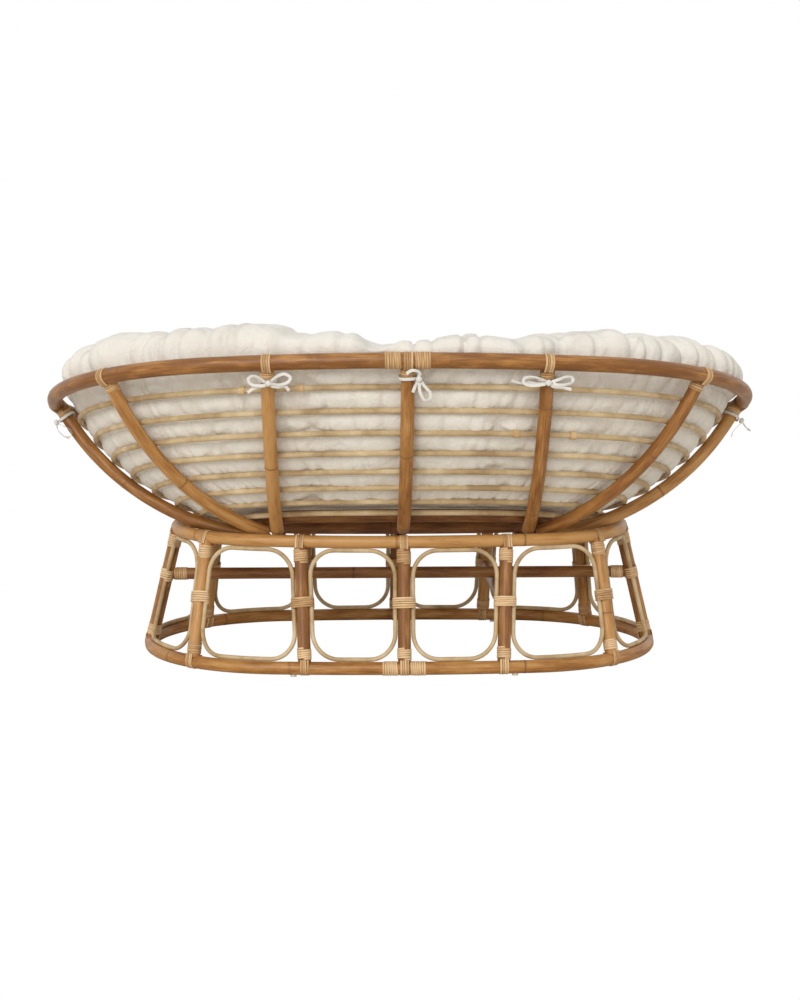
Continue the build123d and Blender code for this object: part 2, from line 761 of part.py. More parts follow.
for station, (swing, strands) in tie_strands.items():
    rib = ribs[stations.index(station)]
    point, side, up = rib.frame(rib.top_angle)
    out = side.cross(up)
    origin = point - up * knot_drop
    band_reach = pole_radius + wrap_gap + 2 * peel_radius + tie_clearance + tie_radius
    knot_way = out * cos(radians(swing)) + side * sin(radians(swing))
    knot_spot = origin + knot_way * (band_reach + knot_radius)
    with BuildPart() as tie:
        with Locations(Plane(knot_spot, x_dir=side, z_dir=up).location):
            Sphere(knot_radius)
        with Locations(Plane(origin, x_dir=-knot_way, z_dir=up).location):
            Torus(band_reach, tie_radius)
        for strand in strands:
            points = [knot_spot + side * a + out * b + up * c for a, b, c in strand]
            tube, radii = tie_tube(points)
            print(station, "tie radii", [round(value, 1) for value in radii])
            add(tube)
    keep_in_bowl(tie.part, f"tie_{station}")
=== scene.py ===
"""Looks of the double papasan chair: rattan poles, wound peel, a tufted cushion and its ties.

Metres. The seat's front faces -Y, +X is the sitter's left and +Z is up. The stand is worked out
about its own middle and the bowl about the middle of its rim's plane, and each is laid in place.
"""

from math import acos, atan2, cos, hypot, pi, radians, sin, sqrt

import bpy
import numpy as np
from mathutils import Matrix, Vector


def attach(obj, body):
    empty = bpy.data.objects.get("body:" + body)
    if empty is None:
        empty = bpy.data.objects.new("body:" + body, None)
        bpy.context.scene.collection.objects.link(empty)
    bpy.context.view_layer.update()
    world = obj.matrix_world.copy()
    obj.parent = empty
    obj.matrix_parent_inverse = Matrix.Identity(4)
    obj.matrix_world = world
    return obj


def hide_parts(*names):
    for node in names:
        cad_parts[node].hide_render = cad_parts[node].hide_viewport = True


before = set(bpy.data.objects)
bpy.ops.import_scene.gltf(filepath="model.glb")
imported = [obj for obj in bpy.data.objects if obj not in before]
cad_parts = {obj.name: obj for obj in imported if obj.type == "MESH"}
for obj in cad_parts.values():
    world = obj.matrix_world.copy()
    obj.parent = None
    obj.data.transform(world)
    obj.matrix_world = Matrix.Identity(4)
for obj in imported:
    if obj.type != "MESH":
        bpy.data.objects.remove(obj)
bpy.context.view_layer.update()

MM = 0.001

# Poles, canes and peel
rim_radius = 17.2 * MM
pole_radius = 15.0 * MM
top_ring_radius = 14.5 * MM
stretcher_radius = 14.0 * MM
seat_cane_radius = 6.3 * MM
peel_width = 4.5 * MM
peel_thickness = 1.5 * MM
peel_pitch = 5.0 * MM
strap_step = 5.2 * MM
strap_count = 4
strap_leg_drop = 2.6 * MM
strap_leg_out = 1.6 * MM
strap_slant = 0.5 * MM
joint_spacing = (260.0 * MM, 500.0 * MM)
joint_lead = 200.0 * MM
joint_reach = 2.0 * MM
joint_swell_share = 0.02
strip_sides = 8
turn_steps = 28
ring_steps = 900

# Stand
stand_foot_size = (602.0 * MM, 354.0 * MM, 342.0 * MM)
stand_foot_height = 19.0 * MM
stand_top_size = (534.4 * MM, 294.3 * MM, 263.4 * MM)
stand_top_height = 299.8 * MM
side_post_top = 236.0 * MM
side_post_foot = 226.0 * MM
corner_post_top = 453.5 * MM
corner_post_foot = 485.0 * MM
long_stretcher_height = 184.0 * MM
cross_stretcher_height = 154.5 * MM
middle_wrap_height = 163.0 * MM
bundle_width = 25.3 * MM
stretcher_wrap_start = 19.0 * MM
post_inset = 8.0 * MM
stretcher_inset = 14.5 * MM

# Bowl
rim_size = (812.0 * MM, 538.0 * MM, 500.0 * MM)
bowl_ring_size = (343.0 * MM, 126.0 * MM, 115.0 * MM)
bowl_ring_drop = 282.6 * MM
rib_inset = 13.0 * MM
rib_top_drop = 10.0 * MM
rib_overhang = 9.0 * MM
rib_end_rounding = 6.0 * MM
rib_binding_drop = 15.0 * MM
middle_rib_bend = 593.6 * MM
side_rib_bend = 622.0 * MM
corner_rib_bend = 629.0 * MM
end_rib_bend = 606.3 * MM
side_rib_top = 300.0 * MM
side_rib_foot = 289.0 * MM
corner_rib_top = 660.0 * MM
corner_rib_foot = 316.0 * MM
seat_ring_first_drop = 46.0 * MM
seat_ring_pitch = 57.0 * MM
seat_ring_count = 8
bowl_pivot_height = 858.6 * MM
bowl_pivot_rise = 267.3 * MM
bowl_tilt = radians(14.0)
joint_gap = 0.1 * MM

# Windings
joint_turns = 6
rib_turns = 3
foot_turns = 5
middle_turns = 5
stretcher_turns = 6
splice_turns = 7
splice_start = 14.0 * MM

rng = np.random.default_rng(7)


class Oval:
    """A flat oval of four tangent arcs: two round ends and two gently bowed sides."""

    def __init__(self, half_length, half_depth, end_radius):
        self.end_radius = end_radius
        self.reach = half_length - end_radius
        slack = half_depth - end_radius
        self.side_radius = (self.reach**2 + half_depth**2 - end_radius**2) / (2 * slack)
        self.rise = self.side_radius - half_depth
        self.turn = atan2(self.rise, self.reach)
        self.end_run = end_radius * self.turn
        self.quarter = self.end_run + self.side_radius * (pi / 2 - self.turn)

    def run_at(self, x):
        """Length along the first quarter at which the oval has this x."""
        corner = self.reach + self.end_radius * cos(self.turn)
        if x > corner:
            return self.end_radius * acos(min(1, (x - self.reach) / self.end_radius))
        return self.end_run + self.side_radius * (acos(x / self.side_radius) - self.turn)

    def points(self, run):
        """Points and outward normals at lengths round the oval.

        The run is folded into the first quarter. There the normal's angle is run over the end's
        radius, then the turn plus what is left over the side's radius, and the point is that
        arc's centre plus its radius times the normal.
        """
        run = np.asarray(run, float)
        quarter = np.floor(run / self.quarter).astype(int)
        along = run - quarter * self.quarter
        quarter = quarter % 4
        along = np.where(quarter % 2 == 1, self.quarter - along, along)
        on_end = along < self.end_run
        angle = np.where(on_end, along / self.end_radius,
                         self.turn + (along - self.end_run) / self.side_radius)
        radius = np.where(on_end, self.end_radius, self.side_radius)
        x = radius * np.cos(angle) + np.where(on_end, self.reach, 0)
        y = radius * np.sin(angle) - np.where(on_end, 0, self.rise)
        flip_x = np.where((quarter == 1) | (quarter == 2), -1, 1)
        flip_y = np.where(quarter >= 2, -1, 1)
        flat = np.zeros(run.shape + (3,))
        normal = np.zeros(run.shape + (3,))
        flat[..., 0] = flip_x * x
        flat[..., 1] = flip_y * y
        normal[..., 0] = flip_x * np.cos(angle)
        normal[..., 1] = flip_y * np.sin(angle)
        return flat, normal


def unit(v):
    return v / np.linalg.norm(v, axis=-1, keepdims=True)


def vec(*values):
    return np.array(values, float)


# Placing: turns from the stand's or the bowl's own axes into the chair's
rim_setback = bowl_pivot_rise * sin(bowl_tilt)
rim_height = bowl_pivot_height - bowl_pivot_rise * cos(bowl_tilt)
tilt_turn = np.array([[1, 0, 0], [0, cos(bowl_tilt), -sin(bowl_tilt)],
                      [0, sin(bowl_tilt), cos(bowl_tilt)]])
body_axes = {"stand": (np.eye(3), vec(0, -rim_setback, 0)),
             "bowl": (tilt_turn, vec(0, 0, rim_height))}


def put(thing):
    bpy.context.scene.collection.objects.link(thing)


class Heap:
    """Grids of points gathered into one mesh, with a run-and-round map and two attributes."""

    def __init__(self):
        self.points, self.faces, self.maps, self.joints, self.tones = [], [], [], [], []
        self.total = 0

    def grid(self, points, run, across, joint=None, tone=0.5, caps=True):
        """Adds a tube of rows of points, each row's end joined to its start.

        The map's first number is the length along the rows, and its second the length across.
        """
        rows, columns = points.shape[:2]
        index = self.total + np.arange(rows * columns).reshape(rows, columns)
        i, j = np.meshgrid(np.arange(rows - 1), np.arange(columns), indexing="ij")
        after = (j + 1) % columns
        quads = np.stack([index[i, j], index[i, after], index[i + 1, after], index[i + 1, j]], -1)
        self.faces.append(quads.reshape(-1, 4))
        steps = np.append(across, across[-1] + (across[1] - across[0]))
        u = np.stack([run[i], run[i], run[i + 1], run[i + 1]], -1)
        v = np.stack([steps[j], steps[j + 1], steps[j + 1], steps[j]], -1)
        self.maps.append(np.stack([u, v], -1).reshape(-1, 2))
        self.points.append(points.reshape(-1, 3))
        marks = np.zeros(rows) if joint is None else joint
        self.joints.append(np.repeat(marks, columns))
        self.tones.append(np.full(rows * columns, tone))
        self.total += rows * columns
        if caps:
            for row, flip in ((0, True), (rows - 1, False)):
                self.fan(points[row], index[row], flip, run[row], tone)

    def fan(self, ring, index, flip, run, tone):
        """Closes the end of a tube about its middle. Each face takes two steps of the ring."""
        self.points.append(ring.mean(0)[None])
        self.joints.append(np.zeros(1))
        self.tones.append(np.full(1, tone))
        middle = self.total
        self.total += 1
        count = len(index)
        half = np.arange(0, count, 2)
        first, second, third = index[half], index[(half + 1) % count], index[(half + 2) % count]
        quads = np.stack([first, second, third, np.full(len(half), middle)], -1)
        if flip:
            quads = quads[:, ::-1]
        self.faces.append(quads)
        self.maps.append(np.full((len(half) * 4, 2), run))

    def make(self, name, material, body, nodes):
        """Turns the heap into a smooth piece that rides on a body and stands for CAD nodes."""
        turn, shift = body_axes[body]
        points = np.concatenate(self.points) @ turn.T + shift
        faces = np.concatenate(self.faces)
        mesh = bpy.data.meshes.new(name)
        mesh.vertices.add(len(points))
        mesh.vertices.foreach_set("co", points.ravel())
        mesh.loops.add(faces.size)
        mesh.loops.foreach_set("vertex_index", faces.ravel().astype(np.int32))
        mesh.polygons.add(len(faces))
        mesh.polygons.foreach_set("loop_start", np.arange(0, faces.size, 4, dtype=np.int32))
        mesh.update(calc_edges=True)
        mesh.polygons.foreach_set("use_smooth", np.full(len(faces), True))
        layer = mesh.uv_layers.new(name="run")
        layer.data.foreach_set("uv", np.concatenate(self.maps).ravel())
        for label, values in (("joint", self.joints), ("tone", self.tones)):
            attribute = mesh.attributes.new(label, "FLOAT", "POINT")
            attribute.data.foreach_set("value", np.concatenate(values))
        mesh.validate()
        mesh.materials.append(material)
        piece = bpy.data.objects.new(name, mesh)
        put(piece)
        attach(piece, body)
        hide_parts(*nodes)
        return piece


def lengths(path):
    steps = np.linalg.norm(np.diff(path, axis=0), axis=1)
    return np.concatenate([[0], np.cumsum(steps)])


def growth_joints(run, seed):
    """Heights, 0 to 1, of the rings that a rattan pole has where it grew on.

    The height falls off to both sides as a bell.
    """
    draw = np.random.default_rng(seed)
    places = np.cumsum(draw.uniform(*joint_spacing, 30)) - joint_lead
    nearest = np.abs(run[:, None] - places[None]).min(1)
    return np.exp(-(nearest / joint_reach) ** 2)


def pole(heap, path, side, radius, seed, around=20, rounded=0.0, closed=False):
    """A pole along a path: rings of points about it, a little uneven and with growth joints.

    A ring is the path's point plus radius times (cosine of the round angle times side plus sine
    times the way square to both). The radius swells at each joint and wanders by a percent. A
    closed pole meets itself at one radius. A rounded one ends in a quarter round.
    """
    way = unit(np.gradient(path, axis=0))
    if closed:
        ends = unit(path[1] - path[-2])
        way[0] = ends
        way[-1] = ends
    side = np.broadcast_to(side, path.shape)
    side = unit(side - way * (side * way).sum(1, keepdims=True))
    other = np.cross(way, side)
    run = lengths(path)
    mark = growth_joints(run, seed)
    wander = np.sin(run * 9.0 + seed) * 0.008 + np.sin(run * 23.0 + 2 * seed) * 0.005
    if closed:
        mark[-1] = mark[0]
        fade = np.sqrt(np.clip(np.sin(pi * run / run[-1]), 0, 1))
        wander = wander * fade
    size = radius * (1 + wander + joint_swell_share * mark)
    if rounded:
        left = np.clip((run[-1] - run) / rounded, 0, 1)
        size = size * np.sqrt(np.clip(1 - (1 - left) ** 2, 0.02, 1))
    angle = np.arange(around) * 2 * pi / around
    ring = (np.cos(angle)[None, :, None] * side[:, None]
            + np.sin(angle)[None, :, None] * other[:, None])
    points = path[:, None] + size[:, None, None] * ring
    tone = np.random.default_rng(seed + 500).uniform(0, 1)
    heap.grid(points, run + seed * 0.37, angle * radius, mark, tone, caps=not closed)


def strip(heap, path, face, width, thickness, tone=0.5):
    """A flat strip along a path, of an oval section with the wide way square to face.

    A section is the path's point plus half the width times the cosine along the across way plus
    half the thickness times the sine along the face way, its corners squared off a little.
    """
    way = unit(np.gradient(path, axis=0))
    face = np.broadcast_to(face, path.shape)
    face = unit(face - way * (face * way).sum(1, keepdims=True))
    across = np.cross(face, way)
    angle = (np.arange(strip_sides) + 0.5) * 2 * pi / strip_sides
    wide = np.sign(np.cos(angle)) * np.abs(np.cos(angle)) ** 0.6
    deep = np.sign(np.sin(angle)) * np.abs(np.sin(angle)) ** 0.6
    section = (wide[None, :, None] * across[:, None] * width / 2
               + deep[None, :, None] * face[:, None] * thickness / 2)
    heap.grid(path[:, None] + section, lengths(path), angle * width / 4, None, tone)


def winding(heap, start, up, side, half_width, half_depth, turns):
    """A strand of peel wound close round a pole or an oval bundle, up from start.

    Its middle line is the start plus side times half the width times the cosine plus the square
    way times half the depth times the sine, rising one pitch a turn. Both ends tuck in flat.
    """
    up = unit(up)
    side = unit(side - up * np.dot(side, up))
    other = np.cross(up, side)
    turn = np.linspace(0, turns * 2 * pi, turns * turn_steps + 1)
    tuck = np.minimum(1, np.minimum(turn, turn[-1] - turn) / 0.5) - 1
    lift = peel_thickness * (0.5 + 0.45 * tuck)
    wave = 0.12 * peel_pitch * np.sin(turn * 0.9 + start[0] * 40)
    reach_x = (half_width + lift)[:, None]
    reach_y = (half_depth + lift)[:, None]
    height = (turn / (2 * pi) * peel_pitch + wave)[:, None]
    round_way = np.cos(turn)[:, None] * side * reach_x + np.sin(turn)[:, None] * other * reach_y
    face = np.cos(turn)[:, None] * side * reach_y + np.sin(turn)[:, None] * other * reach_x
    strip(heap, start + round_way + up * height, face, peel_width, peel_thickness,
          tone=rng.uniform(0, 1))


def straps(heap, ring_point, ring_way, ring_radius, pole_point, pole_up):
    """Strips over a ring whose legs close on the pole below, side by side along the ring.

    Each is a straight leg, an arc about the ring at its radius plus half the strip, and a leg.
    """
    up = unit(pole_up - ring_way * np.dot(pole_up, ring_way))
    out = np.cross(up, ring_way)
    shift = np.dot(pole_point - ring_point, out)
    bend = ring_radius + peel_thickness / 2
    drop = ring_radius + strap_leg_drop
    side = pole_radius + strap_leg_out
    ends = []
    for place in (side + shift, shift - side):
        swing = acos(bend / hypot(place, drop))
        angle = atan2(-drop, place)
        ends.append((place, angle + swing if place > 0 else angle - swing + 2 * pi))
    angles = np.linspace(ends[0][1], ends[1][1], 24)
    arc = np.stack([np.cos(angles), np.sin(angles)], 1) * bend
    share = np.linspace(0, 1, 6)[:-1, None]
    first = vec(ends[0][0], -drop) * (1 - share) + arc[0] * share
    last = arc[-1] + (vec(ends[1][0], -drop) - arc[-1]) * np.linspace(0, 1, 6)[1:, None]
    profile = np.concatenate([first, arc, last])
    plane = np.stack([out, up])
    face = (profile - vec(shift * 0.3, 0)) @ plane
    for k in range(strap_count):
        offset = (k - (strap_count - 1) / 2) * strap_step
        tilt = rng.uniform(-strap_slant, strap_slant)
        slide = offset + tilt * np.linspace(-1, 1, len(profile))
        path = ring_point + slide[:, None] * ring_way + profile @ plane
        strip(heap, path, face, peel_width, peel_thickness * 0.9, tone=rng.uniform(0, 1))


# Rings and stations, as in the solids
stand_foot = Oval(*stand_foot_size)
stand_top = Oval(*stand_top_size)
rim_oval = Oval(*rim_size)
bowl_oval = Oval(*bowl_ring_size)
stations = ["end_left", "back_left_corner", "back_left", "back_middle", "back_right",
            "back_right_corner", "end_right", "front_right_corner", "front_right",
            "front_middle", "front_left", "front_left_corner"]


def quarter_runs(oval, corner_x, side_x):
    corner = oval.run_at(corner_x)
    side = oval.run_at(side_x)
    half = 2 * oval.quarter
    first = [0, corner, side, oval.quarter, half - side, half - corner]
    return first + [half + run for run in first]


top_runs = quarter_runs(stand_top, corner_post_top, side_post_top)
foot_runs = quarter_runs(stand_foot, corner_post_foot, side_post_foot)
rim_runs = quarter_runs(rim_oval, corner_rib_top, side_rib_top)
ring_runs = quarter_runs(bowl_oval, corner_rib_foot, side_rib_foot)
Z = vec(0, 0, 1)


def post_ends(index):
    """Top and foot of a post's axis, the way along the wall and the way up the post."""
    top_flat, normal = stand_top.points(top_runs[index])
    foot_flat, _ = stand_foot.points(foot_runs[index])
    top = top_flat + Z * stand_top_height
    foot = foot_flat + Z * stand_foot_height
    up = unit(top - foot)
    along = vec(-normal[1], normal[0], 0)
    along = unit(along - up * np.dot(along, up))
    return top, foot, along, up


def on_post(index, height):
    top, foot, _, _ = post_ends(index)
    share = (height - stand_foot_height) / (stand_top_height - stand_foot_height)
    return foot + (top - foot) * share


class Rib:
    """A pole bent to one arc in an upright plane, from the rim to the bowl's bottom ring."""

    def __init__(self, rim_run, ring_run, bend):
        self.bend = bend
        self.rim_point, self.rim_normal = rim_oval.points(rim_run)
        ring_point, ring_normal = bowl_oval.points(ring_run)
        self.out = unit(self.rim_point - ring_point)
        self.side = vec(-self.out[1], self.out[0], 0)
        self.base = ring_point
        top = vec(np.linalg.norm(self.rim_point - ring_point) - rib_inset, -rib_top_drop)
        ring_spot = vec(0, -bowl_ring_drop)
        skew = acos(min(1, float(np.dot(ring_normal, self.out))))
        near = bend - 2 * pole_radius - joint_gap
        chord = top - ring_spot
        span = np.linalg.norm(chord)
        along = (span**2 + near**2 - bend**2) / (2 * span)
        across = sqrt(near**2 - along**2)
        way = chord / span
        self.centre = ring_spot + way * along + vec(-way[1], way[0]) * across
        slope = -self.centre[0] / near
        spread = (2 * pole_radius + joint_gap) * (hypot(1, np.tan(skew) * slope) - 1)
        self.centre = self.centre - vec(0, spread)
        self.top_angle = atan2(top[1] - self.centre[1], top[0] - self.centre[0])
        ring_angle = atan2(ring_spot[1] - self.centre[1], ring_spot[0] - self.centre[0])
        self.foot_angle = ring_angle - rib_overhang / bend

    def at_angle(self, angle, offset=0.0):
        """Points at angles on the arc, set in from the axis by an offset."""
        reach = self.bend - offset
        run = self.centre[0] + reach * np.cos(angle)
        height = self.centre[1] + reach * np.sin(angle)
        run = np.asarray(run)[..., None]
        return self.base + self.out * run + Z * np.asarray(height)[..., None]

    def angle_at(self, drop, offset=0.0):
        """Angle at which the arc, set in by an offset, is this far under the rim."""
        reach = self.bend - offset
        rise = -drop - self.centre[1]
        return atan2(rise, sqrt(reach**2 - rise**2))

    def frame(self, angle):
        """Point of the axis at an angle, the way to the rib's side and the way up along it."""
        return self.at_angle(angle), self.side, self.out * -sin(angle) + Z * cos(angle)


bends = [end_rib_bend, corner_rib_bend, side_rib_bend, middle_rib_bend, side_rib_bend,
         corner_rib_bend] * 2
ribs = [Rib(*values) for values in zip(rim_runs, ring_runs, bends)]


# Materials
def link(start, start_socket, end, end_socket):
    start.id_data.links.new(start.outputs[start_socket], end.inputs[end_socket])


def node(tree, kind, **settings):
    """A shader node, with settings given by attribute or, for sockets, by input name."""
    made = tree.nodes.new("ShaderNode" + kind)
    for name, value in settings.items():
        if hasattr(made, name):
            setattr(made, name, value)
        else:
            made.inputs[name.replace("_", " ")].default_value = value
    return made


def times_plus(tree, factor, extra=0.0):
    """A node that gives its first input times a factor plus an extra, or its third input."""
    made = node(tree, "Math", operation="MULTIPLY_ADD")
    made.inputs[1].default_value = factor
    made.inputs[2].default_value = extra
    return made


def new_material(name, **values):
    """A material with its node tree and its surface, whose inputs are named with underscores."""
    material = bpy.data.materials.new(name)
    material.use_nodes = True
    surface = material.node_tree.nodes["Principled BSDF"]
    for label, value in values.items():
        surface.inputs[label.replace("_", " ")].default_value = value
    return material, material.node_tree, surface


def fibre_group():
    """Shader group: long fibres, blotches and joint rings for anything made of cane.

    Fibres are noise stretched fifty to one along the run, blotches are noise at a few
    centimetres, and the ring is the joint attribute with a broken edge.
    """
    group = bpy.data.node_groups.new("cane_fibres", "ShaderNodeTree")
    face = group.interface
    face.new_socket("Vector", in_out="INPUT", socket_type="NodeSocketVector")
    face.new_socket("Joint", in_out="INPUT", socket_type="NodeSocketFloat")
    for name in ("Fibre", "Blotch", "Ring", "Height"):
        face.new_socket(name, in_out="OUTPUT", socket_type="NodeSocketFloat")
    entry = group.nodes.new("NodeGroupInput")
    leave = group.nodes.new("NodeGroupOutput")
    fine_map = node(group, "Mapping", Scale=(14, 700, 14))
    fine = node(group, "TexNoise", Scale=1.0, Detail=4.0, Roughness=0.6)
    broad_map = node(group, "Mapping", Scale=(9, 45, 9))
    broad = node(group, "TexNoise", Scale=1.0, Detail=5.0, Roughness=0.62)
    ring = node(group, "Math", operation="MULTIPLY")
    edge = times_plus(group, 0.7, 0.65)
    height = times_plus(group, 0.5)
    for mapping, noise in ((fine_map, fine), (broad_map, broad)):
        link(entry, "Vector", mapping, "Vector")
        link(mapping, "Vector", noise, "Vector")
    link(broad, "Fac", edge, 0)
    link(entry, "Joint", ring, 0)
    link(edge, 0, ring, 1)
    link(fine, "Fac", height, 0)
    link(broad, "Fac", height, 2)
    link(fine, "Fac", leave, "Fibre")
    link(broad, "Fac", leave, "Blotch")
    link(ring, 0, leave, "Ring")
    link(height, 0, leave, "Height")
    return group


fibres = fibre_group()


def ramp(tree, stops):
    made = node(tree, "ValToRGB")
    while len(made.color_ramp.elements) < len(stops):
        made.color_ramp.elements.new(0.5)
    for element, (place, colour) in zip(made.color_ramp.elements, stops):
        element.position = place
        element.color = (*colour, 1)
    return made


def cane_material(name, dark, middle, light, ring_colour, roughness, coat, mapped=True,
                  bump=0.25):
    """Varnished cane: a ramp from dark through light over fibres and blotches, dark at joints.

    A piece with no map of its run takes the grain from its own axes.
    """
    material, tree, surface = new_material(
        name, Roughness=roughness, Coat_Weight=coat, Specular_IOR_Level=0.35, Coat_Roughness=0.3)
    if mapped:
        place = node(tree, "UVMap", uv_map="run")
        place_out = "UV"
    else:
        solid = node(tree, "TexCoord")
        place = node(tree, "Mapping", Scale=(1, 0.05, 1))
        link(solid, "Object", place, "Vector")
        place_out = "Vector"
    joint = node(tree, "Attribute", attribute_name="joint")
    tone = node(tree, "Attribute", attribute_name="tone")
    grain = node(tree, "Group", node_tree=fibres)
    blend = times_plus(tree, 0.45)
    shade = times_plus(tree, 0.55)
    lift = times_plus(tree, 0.22, -0.11)
    colours = ramp(tree, ((0.39, dark), (0.50, middle), (0.61, light)))
    ring = node(tree, "Mix", data_type="RGBA", clamp_factor=True)
    ring.inputs[7].default_value = (*ring_colour, 1)
    bumped = node(tree, "Bump", Strength=bump, Distance=0.0006)
    link(place, place_out, grain, "Vector")
    if mapped:
        link(joint, "Fac", grain, "Joint")
        link(tone, "Fac", lift, 0)
    else:
        lift.inputs[0].default_value = 0.5
    link(grain, "Fibre", blend, 0)
    link(lift, 0, blend, 2)
    link(grain, "Blotch", shade, 0)
    link(blend, 0, shade, 2)
    link(shade, 0, colours, "Fac")
    link(colours, "Color", ring, 6)
    link(grain, "Ring", ring, 0)
    link(ring, 2, surface, "Base Color")
    link(grain, "Height", bumped, "Height")
    link(bumped, "Normal", surface, "Normal")
    return material


def crease_lines(tree, mapping, scale, width):
    """Valleys where a noise crosses its middle: 0 in the valley, 1 beyond the given width."""
    noise = node(tree, "TexNoise", Scale=scale, Detail=1.5, Distortion=0.7)
    centred = node(tree, "Math", operation="SUBTRACT")
    centred.inputs[1].default_value = 0.5
    size = node(tree, "Math", operation="ABSOLUTE")
    span = node(tree, "MapRange", interpolation_type="SMOOTHSTEP")
    span.inputs["From Max"].default_value = width
    link(mapping, "Vector", noise, "Vector")
    link(noise, "Fac", centred, 0)
    link(centred, 0, size, 0)
    link(size, 0, span, "Value")
    return span


def cloth_material(name, colour, shadow, weave_scale, weave=0.12, gathers=0.0):
    """Plain cotton: a fine weave, soft creases, upright gathers and a slow change of shade."""
    material, tree, surface = new_material(name, Roughness=0.9, Sheen_Weight=0.15)
    place = node(tree, "TexCoord")
    slow = node(tree, "TexNoise", Scale=9.0, Detail=4.0, Roughness=0.55)
    crease = node(tree, "TexNoise", Scale=34.0, Detail=5.0, Roughness=0.6,
                  Distortion=1.3)
    weave_noise = node(tree, "TexNoise", Scale=weave_scale, Detail=2.0)
    stretch = node(tree, "Mapping", Scale=(1, 1, 0.4))
    pulled = times_plus(tree, gathers)
    wide = crease_lines(tree, stretch, 7.0, 0.13)
    narrow = crease_lines(tree, stretch, 17.0, 0.16)
    lines = times_plus(tree, 0.16)
    link(narrow, "Result", lines, 0)
    link(wide, "Result", lines, 2)
    colours = ramp(tree, ((0.25, shadow), (0.62, colour)))
    both = times_plus(tree, weave)
    bumped = node(tree, "Bump", Strength=0.55, Distance=0.009)
    for noise in (slow, crease, weave_noise):
        link(place, "Object", noise, "Vector")
    link(slow, "Fac", colours, "Fac")
    link(colours, "Color", surface, "Base Color")
    link(weave_noise, "Fac", both, 0)
    link(crease, "Fac", both, 2)
    link(place, "Object", stretch, "Vector")
    link(lines, 0, pulled, 0)
    link(both, 0, pulled, 2)
    link(pulled, 0, bumped, "Height")
    link(bumped, "Normal", surface, "Normal")
    return material


pole_cane = cane_material("honey_rattan", (0.215, 0.080, 0.016), (0.39, 0.172, 0.040),
                          (0.54, 0.285, 0.092), (0.22, 0.09, 0.022), 0.42, 0.10)
# The same cane made darker for the low poles under the bowl: painted shade where the bowl shades
# them
dark_cane = cane_material("shade_painted_rattan", (0.13, 0.045, 0.010), (0.255, 0.100, 0.024),
                          (0.37, 0.175, 0.052), (0.12, 0.05, 0.015), 0.42, 0.10)
seat_cane = cane_material("pale_seat_cane", (0.36, 0.235, 0.110), (0.53, 0.385, 0.205),
                          (0.67, 0.525, 0.320), (0.2, 0.1, 0.05), 0.55, 0.08, mapped=False)
peel = cane_material("straw_peel", (0.46, 0.26, 0.105), (0.66, 0.42, 0.205), (0.80, 0.57, 0.32),
                     (0.3, 0.15, 0.06), 0.55, 0.08, bump=0.4)
cotton = cloth_material("ivory_cotton", (0.83, 0.79, 0.71), (0.78, 0.735, 0.65), 900.0,
                        gathers=1.0)
tape = cloth_material("tie_tape", (0.86, 0.84, 0.79), (0.80, 0.77, 0.70), 1400.0, 0.3)


# Poles of the stand and the bowl
# The low poles under the bowl, which take the darker cane as painted shade
shade_painted_poles = ("bowl_bottom_ring", "long_stretcher", "cross_stretcher_left",
              "cross_stretcher_right")


def one_pole(name, path, side, radius, body, seed, **more):
    heap = Heap()
    pole(heap, path, side, radius, seed, **more)
    # Poles under the bowl get the darkened copy of the cane, which paints in their shade
    cane, slot = (dark_cane, "dark_cane") if name in shade_painted_poles else (pole_cane, "cane")
    heap.make(name + "_cane", cane, body, (name,))


ring_table = (("stand_bottom_ring", stand_foot, stand_foot_height, pole_radius, "stand"),
              ("stand_top_ring", stand_top, stand_top_height, top_ring_radius, "stand"),
              ("bowl_rim", rim_oval, 0, rim_radius, "bowl"),
              ("bowl_bottom_ring", bowl_oval, -bowl_ring_drop, pole_radius, "bowl"))
for seed, (name, oval, height, radius, body) in enumerate(ring_table):
    flat, normal = oval.points(np.linspace(0, 4 * oval.quarter, ring_steps))
    one_pole(name, flat + Z * height, normal, radius, body, seed, around=24, closed=True)

for index, station in enumerate(stations):
    top, foot, along, up = post_ends(index)
    share = np.linspace(0, 1, 90)[:, None]
    path = foot + up * post_inset + (top - foot - up * 2 * post_inset) * share
    one_pole("post_" + station, path, along, pole_radius, "stand", 20 + index)
    rib = ribs[index]
    angles = np.linspace(rib.top_angle, rib.foot_angle, 220)
    one_pole("rib_" + station, rib.at_angle(angles), rib.side, pole_radius, "bowl", 40 + index,
             rounded=rib_end_rounding)

for name, first, last, height in (("long_stretcher", 6, 0, long_stretcher_height),
                                  ("cross_stretcher_left", 2, 10, cross_stretcher_height),
                                  ("cross_stretcher_right", 4, 8, cross_stretcher_height)):
    start, end = on_post(first, height), on_post(last, height)
    gap = unit(end - start) * stretcher_inset
    share = np.linspace(0, 1, 260)[:, None]
    path = start + gap + (end - start - 2 * gap) * share
    one_pole(name, path, Z, stretcher_radius, "stand", 60 + len(name))


def repaint(name, material):
    """Gives a piece that keeps its solid a new material."""
    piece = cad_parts[name]
    piece.data.materials.clear()
    piece.data.materials.append(material)


# Thin canes keep their solids
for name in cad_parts:
    if name.startswith("seat_ring_") and name[-1].isdigit() or name.startswith("panel_loops_"):
        repaint(name, seat_cane)


# Peel on the stand
def post_bindings(name, oval, runs, height, ring_radius, sense, turns):
    """Straps over a ring at each post, and a winding round the post next to them."""
    heap = Heap()
    for index, run in enumerate(runs):
        flat, normal = oval.points(run)
        point = flat + Z * height
        way = vec(-normal[1], normal[0], 0)
        up = post_ends(index)[3] * sense
        straps(heap, point, way, ring_radius, point, up)
        fall = ring_radius + strap_leg_drop + turns * peel_pitch + peel_width / 2
        winding(heap, point - up * fall, up, normal, pole_radius, pole_radius, turns)
    heap.make(name + "_peel", peel, "stand", (name,))


